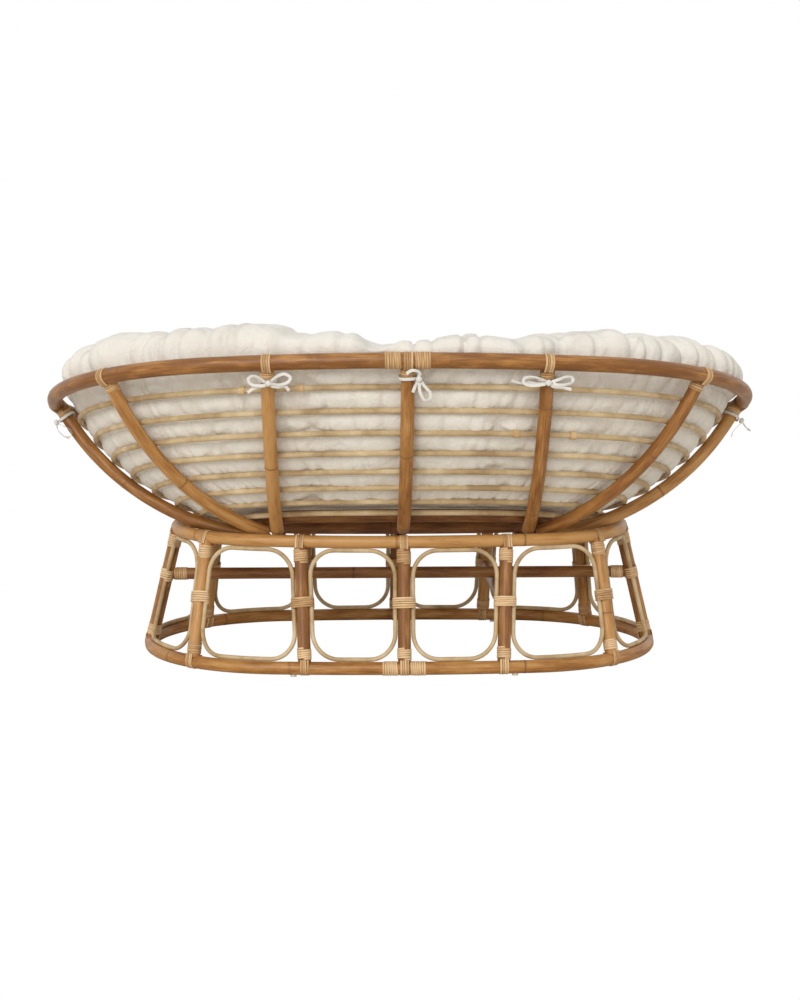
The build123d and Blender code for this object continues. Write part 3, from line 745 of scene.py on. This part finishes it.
post_bindings("post_top_bindings", stand_top, top_runs, stand_top_height, top_ring_radius, 1,
              joint_turns)
post_bindings("post_foot_bindings", stand_foot, foot_runs, stand_foot_height, pole_radius, -1,
              foot_turns)
heap = Heap()
for index in range(len(stations)):
    _, _, along, up = post_ends(index)
    height = long_stretcher_height if index in (0, 6) else middle_wrap_height
    start = on_post(index, height) - up * middle_turns * peel_pitch / 2
    winding(heap, start, up, along, bundle_width, pole_radius, middle_turns)
heap.make("post_middle_bindings_peel", peel, "stand", ("post_middle_bindings",))


def splice(heap, oval, height, radius):
    """Windings to both sides of the joint at the middle of an oval's back."""
    for side in (-1, 1):
        length = splice_turns * peel_pitch
        flat, normal = oval.points(oval.quarter + side * (splice_start + length / 2))
        way = vec(-normal[1], normal[0], 0)
        winding(heap, flat - way * length / 2 + Z * height, way, Z, radius, radius, splice_turns)


heap = Heap()
splice(heap, stand_foot, stand_foot_height, pole_radius)
heap.make("stand_splice_peel", peel, "stand", ("stand_splice_windings",))
heap = Heap()
for index, side in ((0, -1), (6, 1)):
    spot = on_post(index, long_stretcher_height) + vec(side * stretcher_wrap_start, 0, 0)
    winding(heap, spot, vec(side, 0, 0), Z, stretcher_radius, stretcher_radius, stretcher_turns)
heap.make("stretcher_end_peel", peel, "stand", ("stretcher_end_windings",))

# Peel on the bowl
heap = Heap()
for rib in ribs:
    point, _, up = rib.frame(rib.top_angle)
    way = vec(-rib.rim_normal[1], rib.rim_normal[0], 0)
    straps(heap, rib.rim_point, way, rim_radius, point, up)
    centre, side, up = rib.frame(rib.top_angle - rib_binding_drop / rib.bend)
    winding(heap, centre - up * rib_turns * peel_pitch / 2, up, side, pole_radius, pole_radius,
            rib_turns)
heap.make("rim_bindings_peel", peel, "bowl", ("rim_bindings",))
heap = Heap()
splice(heap, rim_oval, 0, rim_radius)
heap.make("rim_splice_peel", peel, "bowl", ("rim_splice_windings",))

# Cushion
cushion_gap = 0.4 * MM
cushion_bulge = 24.0 * MM
cushion_rise = 82.0 * MM
cushion_edge = 58.0 * MM
cushion_floor_drop = 262.0 * MM
cushion_hollow_depth = 212.0 * MM
cushion_end_share = 0.82
cushion_drop_shares = (1.0, 0.86, 0.67, 0.44, 0.19, 0.0)
cushion_roll_shares = ((0.2, 0.8), (0.45, 1.1), (0.7, 0.9), (0.9, 0.0), (1.0, -1.3))
cushion_hollow_shares = ((0.0, 1.2), (0.05, 1.6), (0.16, 2.0), (0.39, 2.3), (0.62, 3.0),
                         (0.86, 4.0), (0.96, 5.2), (1.0, 6.4))
tuft_shares = ((0.0, 0.0), (0.3, 0.0), (-0.3, 0.0), (0.0, 0.36), (0.0, -0.36), (0.3, 0.34),
               (-0.3, 0.34), (0.3, -0.34), (-0.3, -0.34), (0.56, 0.0), (-0.56, 0.0))
tuft_lines = ((9, 1), (1, 0), (0, 2), (2, 10), (5, 3), (3, 6), (7, 4), (4, 8), (5, 1), (1, 7),
              (3, 0), (0, 4), (6, 2), (2, 8), (9, 5), (9, 7), (10, 6), (10, 8))

# The roll's crest over the rim's plane, along the length, read off the cushion's outline
crest_x = (-0.80, -0.72, -0.65, -0.56, -0.47, -0.40, -0.36, -0.28, -0.235, -0.19, -0.15, -0.10,
           -0.05, 0.00, 0.06, 0.10, 0.136, 0.19, 0.214, 0.24, 0.30, 0.37, 0.45, 0.56, 0.61, 0.675,
           0.74, 0.80)
crest_height = (0.088, 0.098, 0.100, 0.092, 0.098, 0.096, 0.093, 0.073, 0.053, 0.060, 0.070,
                0.062, 0.052, 0.048, 0.056, 0.068, 0.073, 0.072, 0.066, 0.080, 0.096, 0.105,
                0.102, 0.106, 0.097, 0.112, 0.103, 0.088)
# Size, depth and sharpness of the wide and the fine folds: elsewhere than at the edge they are
# of the rest depth
fold_table = ((85.0 * MM, 14.0 * MM, 0.16), (36.0 * MM, 9.0 * MM, 0.18))
rest_fold_depth = 4.0 * MM
edge_reach = 110.0 * MM
swell_size = 110.0 * MM
swell_depth = 3.5 * MM
ripple_size = 35.0 * MM
ripple_depth = 1.6 * MM
roll_push = 9.0 * MM
roll_reach = 50.0 * MM
crest_lump_size = 50.0 * MM
crest_lump_depth = 4.0 * MM
crest_blend = 400.0 * MM
front_crest_share = 0.25

# Swells between the seat rings and pulls at the tufts
ring_swell_depth = 8.8 * MM
ring_press_depth = 0.9 * MM
swell_limit = 10.5 * MM
press_limit = 0.5 * MM
under_tuft_radius = 20.0 * MM
under_tuft_depth = 10.0 * MM
under_crease_reach = 50.0 * MM
under_crease_depth = 3.5 * MM
tuft_radius = 34.0 * MM
tuft_depth = 26.0 * MM
tuft_crease_reach = 40.0 * MM
tuft_crease_depth = 3.0 * MM
crease_start = 20.0 * MM
tuft_line_reach = 20.0 * MM
tuft_line_depth = 19.0 * MM
seat_reach = 620.0 * MM
seat_push = 7.0 * MM
outer_tufts = (5, 3, 6, 7, 4, 8, 9, 10)
columns = 640
side_rows = 150
profile_steps = 1200
lattice_cells = 32
under_tufts = ((0.205, 0.125), (0.205, 0.215), (0.205, 0.25), (-0.20, 0.115), (-0.20, 0.20),
               (0.0, 0.16), (0.42, 0.14), (-0.42, 0.14))


def lined_oval(drop):
    """Half length and half depth of the space inside the seat rings, this far under the rim."""
    inset = pole_radius + 2 * seat_cane_radius + joint_gap + cushion_gap
    end = ribs[0].at_angle(ribs[0].angle_at(drop, inset), inset)
    middle = ribs[3].at_angle(ribs[3].angle_at(drop, inset), inset)
    return end[0], middle[1]


def lumps(points, size, seed):
    """Smooth noise from -1 to 1: a random lattice of a given cell size, blended by cubic steps."""
    lattice = np.random.default_rng(seed).uniform(-1, 1, (lattice_cells,) * 3)
    spot = points / size + 100
    cell = np.floor(spot).astype(int)
    part = spot - cell
    part = part * part * (3 - 2 * part)
    total = np.zeros(points.shape[:-1])
    for corner in range(8):
        step = np.array([corner & 1, corner >> 1 & 1, corner >> 2])
        index = (cell + step) % lattice_cells
        weight = np.prod(np.where(step == 1, part, 1 - part), -1)
        total += weight * lattice[index[..., 0], index[..., 1], index[..., 2]]
    return total


def folds(points, size, sharpness, seed):
    """0 in creases and 1 on the swells between them; a crease lies where the noise is nought."""
    return 1 - np.exp(-(lumps(points, size, seed) / sharpness) ** 2)


def smoothed(values, reach):
    """A moving average run twice, with both ends held."""
    window = np.ones(2 * reach + 1) / (2 * reach + 1)
    for _ in range(2):
        padded = np.concatenate([np.full(reach, values[0]), values, np.full(reach, values[-1])])
        values = np.convolve(padded, window, "valid")
    return values


def cushion_profile():
    """Half length, half depth and height from the underside's middle round to the seat's."""
    rows = [(*lined_oval(cushion_floor_drop * share), -cushion_floor_drop * share)
            for share in cushion_drop_shares]
    length, depth = lined_oval(0)
    rows += [(length + cushion_bulge * out, depth + cushion_bulge * out, cushion_rise * up)
             for up, out in cushion_roll_shares]
    rows += [(length - cushion_edge * inset, depth - cushion_edge * inset,
              cushion_rise - cushion_hollow_depth * down)
             for down, inset in cushion_hollow_shares]
    rows = [(rows[0][0] * 0.01, rows[0][1] * 0.01, rows[0][2])] + rows
    rows += [(rows[-1][0] * 0.01, rows[-1][1] * 0.01, rows[-1][2])]
    rows = np.array(rows)
    run = lengths(rows[:, 1:])
    fine = np.linspace(0, run[-1], profile_steps)
    return np.stack([smoothed(np.interp(fine, run, rows[:, k]), 12) for k in range(3)], 1), fine


def cushion_points():
    """Base grid of the pad: ovals of the profile's sizes, stacked at its heights.

    Also the length along the profile, how many rows the underside has, and the heights.
    """
    profile, fine = cushion_profile()
    top = np.argmax(profile[:, 1])
    under_rows = np.unique(np.round(np.linspace(0, top, side_rows)).astype(int))
    over_rows = np.unique(np.round(np.linspace(top, len(fine) - 1, side_rows)).astype(int))
    rows = np.concatenate([under_rows, over_rows[1:]])
    share = np.arange(columns) / columns
    points = np.empty((len(rows), columns, 3))
    for index, row in enumerate(rows):
        half_length, half_depth, height = profile[row]
        oval = Oval(half_length, half_depth, half_depth * cushion_end_share)
        points[index], _ = oval.points(share * 4 * oval.quarter)
        points[index, :, 2] = height
    return points, fine[rows], len(under_rows), profile[rows, 2]


def grid_normals(points):
    across = np.roll(points, -1, 1) - np.roll(points, 1, 1)
    along = np.gradient(points, axis=0)
    normal = np.cross(across, along)
    return normal / np.maximum(np.linalg.norm(normal, axis=-1, keepdims=True), 1e-12)


def to_segment(flat, start, end):
    """Distance from flat points to a straight line between two spots."""
    way = end - start
    share = np.clip(((flat - start) @ way) / np.dot(way, way), 0, 1)
    return np.linalg.norm(flat - start - share[..., None] * way, axis=-1)


def tuft(across, up, radius, reach, rays, phase, squash=1.0):
    """A tuft's dent, as a bell, and the creases that run out from it as rays."""
    away = np.hypot(across, up * squash)
    creases = np.cos(np.arctan2(up, across) * rays + phase) * np.exp(-away / reach)
    return np.exp(-(away / radius) ** 2), creases * np.clip(away / crease_start, 0, 1)


base, profile_run, under_count, heights = cushion_points()
rim_row = under_count - 1
edge_spot = np.broadcast_to(base[rim_row], base.shape)
drop = np.broadcast_to(-heights[:, None], base.shape[:2])
row_run = np.broadcast_to(profile_run[:, None], base.shape[:2])
is_under = (np.arange(len(base)) < under_count)[:, None]

# The crest's height varies along the length, on the roll and a little way into the hollow
at_back = np.clip(0.5 + edge_spot[..., 1] / crest_blend, 0, 1)
crest = np.interp(edge_spot[..., 0], crest_x, crest_height)
crest_share = front_crest_share + (1 - front_crest_share) * at_back
crest = cushion_rise + (crest - cushion_rise) * crest_share
crest = crest + crest_lump_depth * lumps(edge_spot, crest_lump_size, 21)
base = base.copy()
lift = np.clip(-drop / cushion_rise, 0, 1)
base[..., 2] = base[..., 2] + lift * (crest - cushion_rise)
out = grid_normals(base)

# Folds that run up and over the edge, finer ones on the roll, and soft swells everywhere
fold_spot = edge_spot.copy()
fold_spot[..., 2] = row_run * 0.22
from_edge = row_run - profile_run[rim_row]
near_edge = np.exp(-(from_edge / edge_reach) ** 2)
push = roll_push * np.exp(-(from_edge / roll_reach) ** 2)
push = push + swell_depth * lumps(base, swell_size, 33)
push = push + ripple_depth * lumps(base * vec(1.6, 1.6, 0.8), ripple_size, 34)
for seed, (size, depth, sharpness) in enumerate(fold_table, 31):
    height = folds(fold_spot, size, sharpness, seed) - 0.85
    push = push + (depth * near_edge + rest_fold_depth) * height

# The underside swells out between the seat rings, which hold it back
middle_reach = middle_rib_bend - pole_radius - seat_cane_radius
first_angle = ribs[3].angle_at(seat_ring_first_drop, pole_radius + seat_cane_radius)
angles = first_angle - np.arange(seat_ring_count) * seat_ring_pitch / middle_reach
seat_drops = -(ribs[3].centre[1] + middle_reach * np.sin(angles))
ring_heights = np.array([0, *seat_drops, cushion_floor_drop + 0.03])
between = np.interp(drop, ring_heights, np.arange(len(ring_heights)))
swell = np.sin(pi * (between % 1)) ** 0.7
swell = np.where(drop < 0, 0, swell)
held = ring_swell_depth * swell * (0.82 + 0.18 * lumps(base, 0.07, 35))
held = held - ring_press_depth * (1 - swell)
limit = np.where(swell > 0, press_limit + swell_limit * swell, 1.0)
under_push = np.where(drop > 0, held + (0.25 + 0.75 * swell) * push * 0.75, push)
on_side = (base[..., 1] > 0) & is_under
for x, depth in under_tufts:
    dent, creases = tuft(base[..., 0] - x, drop - depth, under_tuft_radius, under_crease_reach,
                         5, 9 * x, squash=1.3)
    creases = under_crease_depth * creases - under_tuft_depth * dent
    under_push = under_push + np.where(on_side, creases, 0)
under_push = np.where(drop > 0, np.minimum(under_push, limit), under_push)

# The seat is pulled down at its tufts and along the lines between them
open_length, open_depth = lined_oval(0)
spots = [vec(x * open_length, y * open_depth) for x, y in tuft_shares]
flat = base[..., :2]
top_push = push * (0.35 + 0.65 * near_edge) + seat_push * (1 - near_edge)
for spot in spots:
    dent, creases = tuft(flat[..., 0] - spot[0], flat[..., 1] - spot[1], tuft_radius,
                         tuft_crease_reach, 7, 5 * spot[0])
    top_push = top_push - tuft_depth * dent + tuft_crease_depth * creases
lines = [(spots[first], spots[second]) for first, second in tuft_lines]
lines += [(spots[index], spots[index] * 1.9) for index in outer_tufts]
nearest = np.min([to_segment(flat, start, end) for start, end in lines], axis=0)
inside = np.exp(-((row_run - profile_run[-1]) / seat_reach) ** 4)
top_push = top_push - tuft_line_depth * np.exp(-nearest / tuft_line_reach) * inside
push = np.where(is_under, under_push, top_push)

# The ends of the profile are drawn together, so the middle of each side lies flat
rows_in = np.minimum(np.arange(len(base)), np.arange(len(base))[::-1])[:, None]
push = push * np.clip(rows_in / 6, 0, 1)
pad = base + out * push[..., None]

for name, first, last in (("cushion_underside", 0, under_count),
                          ("cushion_seat", under_count - 1, len(base))):
    heap = Heap()
    heap.grid(pad[first:last], profile_run[first:last], np.arange(columns) * 0.0067, caps=False)
    end = 0 if first == 0 else last - first - 1
    index = np.arange(end * columns, (end + 1) * columns)
    heap.fan(pad[first + end], index, first == 0, 0, 0.5)
    piece = heap.make(name, cotton, "bowl", ("cushion",))

# Ties: a band round a rib, a knot and loose ends of flat tape, from the knot outward
tape_width = 7.2 * MM
tape_thickness = 0.9 * MM
knot_drop = 24.0 * MM
band_reach = pole_radius + 5.35 * MM
knot_radius = 7.5 * MM
knot_size = vec(7.2, 6.2, 7.0) * MM
tie_strands = {
    "back_left": (7.0, [
        [(6, 1, 5), (18, 1, 15), (34, 3, 22), (47, 5, 15), (42, 7, 5), (26, 6, -1), (6, 3, -1)],
        [(5, 0, -5), (20, 3, -8), (36, 4, -6), (44, 4, -15)],
        [(-5, 0, -5), (-17, 2, -7), (-32, 4, -10), (-44, 4, -19)],
        [(-7, 2, 3), (-18, 3, 13), (-32, 4, 18), (-42, 5, 11), (-35, 7, 0), (-19, 6, -3),
         (-6, 4, -3)]]),
    "back_middle": (55.0, [
        [(-1, 2, 5), (1, 6, 15), (-6, 9, 21), (-17, 10, 22), (-27, 9, 15)],
        [(5, 2, -6), (14, 3, -17), (24, 3, -30), (24, 4, -42), (13, 5, -46), (5, 6, -34),
         (1, 5, -20), (1, 3, -7)],
        [(-3, 2, -5), (-9, 4, -17), (-13, 5, -28)]]),
    "back_right": (0.0, [
        [(-7, 0, 4), (-20, 2, 10), (-36, 3, 14), (-52, 4, 12), (-54, 5, 2), (-40, 5, -4),
         (-24, 4, -4), (-7, 2, -2)],
        [(7, 0, 3), (20, 2, 8), (34, 3, 14), (48, 4, 14), (50, 5, 4), (36, 5, -2), (20, 4, -3),
         (8, 2, -1)],
        [(5, 1, -5), (16, 3, -9), (32, 3, -10), (49, 4, -13)],
        [(-6, -3, 0), (-22, -4, -4), (-40, -4, -1), (-60, -3, -2), (-80, -2, 4)]]),
    "end_left": (10.0, [
        [(2, 3, -7), (7, 5, -18), (11, 2, -32), (13, -3, -44), (15, -12, -49), (16, -20, -42),
         (15, -18, -29), (13, -10, -18), (7, -3, -5)],
        [(-2, 4, -6), (-3, 6, -16), (-2, 5, -28), (0, 2, -40)]]),
    "end_right": (-10.0, [
        [(-2, 6, -4), (-4, 17, -10), (-3, 30, -12)],
        [(-3, 1, -7), (-7, -3, -20), (-8, -6, -34), (-7, -4, -48)]]),
}


def eased(points, steps=14):
    """A smooth line through points, each piece a cubic whose slopes come from its neighbours."""
    held = np.concatenate([2 * points[:1] - points[1:2], points, 2 * points[-1:] - points[-2:-1]])
    share = np.linspace(0, 1, steps, endpoint=False)[None, :, None]
    before, here, after, beyond = (held[k:len(held) - 3 + k, None] for k in range(4))
    line = 0.5 * (2 * here + (after - before) * share
                  + (2 * before - 5 * here + 4 * after - beyond) * share**2
                  + (3 * here - before - 3 * after + beyond) * share**3)
    return np.concatenate([line.reshape(-1, 3), points[-1:]])


def knot(heap, spot, side, out, up):
    """A pulled knot: a ball of the knot's size, pressed in along two crossed bands."""
    tall, turn = np.linspace(0.02, pi - 0.02, 26), np.arange(36) * 2 * pi / 36
    way = np.stack([np.sin(tall)[:, None] * np.cos(turn), np.sin(tall)[:, None] * np.sin(turn),
                    np.broadcast_to(np.cos(tall)[:, None], (26, 36))], -1)
    groove = np.exp(-((way[..., 0] + 0.7 * way[..., 2]) / 0.16) ** 2)
    groove += np.exp(-((way[..., 0] - 0.9 * way[..., 2] - 0.15) / 0.16) ** 2)
    size = 1 - 0.16 * np.clip(groove, 0, 1)
    ball = way * size[..., None] * knot_size
    points = spot + ball @ np.stack([side, out, up])
    heap.grid(points[::-1], tall, turn)


for station, (swing, strands) in tie_strands.items():
    rib = ribs[stations.index(station)]
    point, side, up = rib.frame(rib.top_angle)
    face = np.cross(side, up)
    origin = point - up * knot_drop
    knot_way = face * cos(radians(swing)) + side * sin(radians(swing))
    knot_spot = origin + knot_way * (band_reach + knot_radius)
    heap = Heap()
    knot(heap, knot_spot, side, face, up)
    turn = np.linspace(0, 2 * pi, 72)[:, None]
    other = np.cross(up, knot_way)
    round_way = -knot_way * np.cos(turn) + other * np.sin(turn)
    band = origin + round_way * band_reach + up * 1.2 * MM * np.sin(2 * turn)
    strip(heap, band, round_way, tape_width, tape_thickness)
    for strand in strands:
        line = eased(knot_spot + np.array(strand) * MM @ np.stack([side, face, up]))
        share = np.linspace(0, 1, len(line))[:, None]
        twist = 0.45 * np.sin(share * 5.0 + 3 * strand[0][0])
        strip(heap, line, face * np.cos(twist) + up * np.sin(twist), tape_width,
              tape_thickness)
    heap.make("tie_tape_" + station, tape, "bowl", ("tie_" + station,))

# Wraps on the lapped seat rings and the glides keep their solids
plain_peel = cane_material("straw_peel_wrap", (0.42, 0.25, 0.10), (0.60, 0.40, 0.19),
                           (0.74, 0.54, 0.30), (0.3, 0.15, 0.06), 0.5, 0.15, mapped=False)
plastic, _, _ = new_material("moulded_glide", Base_Color=(0.62, 0.58, 0.5, 1), Roughness=0.45)
repaint("seat_ring_lap_wraps", plain_peel)
repaint("glide_feet", plastic)

# Floor, light and camera
floor_reach = 30.0
sky_light = 0.68
key_light = 1.5
key_spread = radians(32)
key_way = Vector((-0.32, -0.95, -0.50))
camera_spot = (0.1539, 4.998 - rim_setback, 0.9658)
camera_lens = 75.04
camera_yaw = 0.0309
camera_pitch = 0.1204
floor = bpy.data.objects.new("floor", bpy.data.meshes.new("floor"))
floor_corners = [(x * floor_reach, y * floor_reach, 0)
                 for x, y in ((-1, -1), (1, -1), (1, 1), (-1, 1))]
floor.data.from_pydata(floor_corners, [], [(0, 1, 2, 3)])
put(floor)
paint, tree, dull = new_material("floor_paint", Base_Color=(0.80, 0.75, 0.68, 1), Roughness=1.0,
                                 Specular_IOR_Level=0.0)
white = node(tree, "Emission", Color=(1, 1, 1, 1), Strength=1.0)
eye = node(tree, "LightPath")
pick = node(tree, "MixShader")
link(eye, "Is Camera Ray", pick, 0)
link(dull, "BSDF", pick, 1)
link(white, "Emission", pick, 2)
link(pick, "Shader", tree.nodes["Material Output"], "Surface")
floor.data.materials.append(paint)

world = bpy.data.worlds.new("studio")
bpy.context.scene.world = world
world.use_nodes = True
tree = world.node_tree
background = tree.nodes["Background"]
rays = node(tree, "LightPath")
seen = node(tree, "Math", operation="MAXIMUM")
level = times_plus(tree, 1 - sky_light, sky_light)
link(rays, "Is Camera Ray", seen, 0)
link(rays, "Is Glossy Ray", seen, 1)
link(seen, 0, level, 0)
link(level, 0, background, "Strength")
background.inputs["Color"].default_value = (1, 1, 1, 1)

sun = bpy.data.lights.new("key", "SUN")
sun.energy = key_light
sun.angle = key_spread
lamp = bpy.data.objects.new("key", sun)
lamp.rotation_euler = key_way.to_track_quat("-Z", "Y").to_euler()
put(lamp)

camera_data = bpy.data.cameras.new("camera")
camera_data.lens = camera_lens
camera_data.sensor_width = 36.0
camera = bpy.data.objects.new("camera", camera_data)
camera.location = camera_spot
look = Vector((-sin(camera_yaw) * cos(camera_pitch), -cos(camera_yaw) * cos(camera_pitch),
               -sin(camera_pitch)))
camera.rotation_euler = look.to_track_quat("-Z", "Y").to_euler()
put(camera)
bpy.context.scene.camera = camera
bpy.context.scene.view_settings.view_transform = "Standard"
